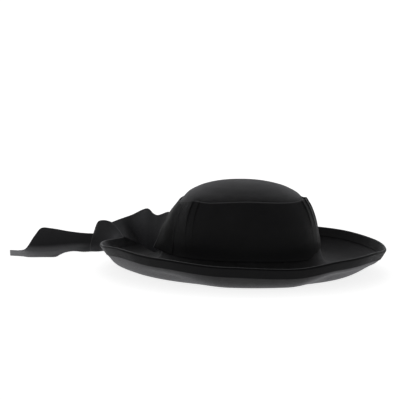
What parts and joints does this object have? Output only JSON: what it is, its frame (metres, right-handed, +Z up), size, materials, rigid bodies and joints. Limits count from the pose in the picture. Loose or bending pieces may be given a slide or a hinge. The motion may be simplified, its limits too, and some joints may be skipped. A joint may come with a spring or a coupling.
{
  "type": "breton hat",
  "caption": "Rounded felt hat with a brim turned up all round, a ribbon-bound rim, a wide pleated ribbon band and one long ribbon streamer.",
  "frame": {"origin": "under the middle of the whole piece's box, streamer included, on the surface that the hat stands on", "axes": "+X to the front of the hat, away from the streamer; +Z up"},
  "size_m": [0.4928, 0.3226, 0.1065],
  "materials": {
    "felt": "black wool felt, matt with a short nap",
    "ribbon": "black grosgrain ribbon, fine cross ribs, soft sheen"
  },
  "bodies": {
    "root": {"crown_and_brim": "felt", "rim_binding": "ribbon", "hat_band": "ribbon", "band_fold": "ribbon", "streamer": "ribbon"}
  },
  "joints": []
}
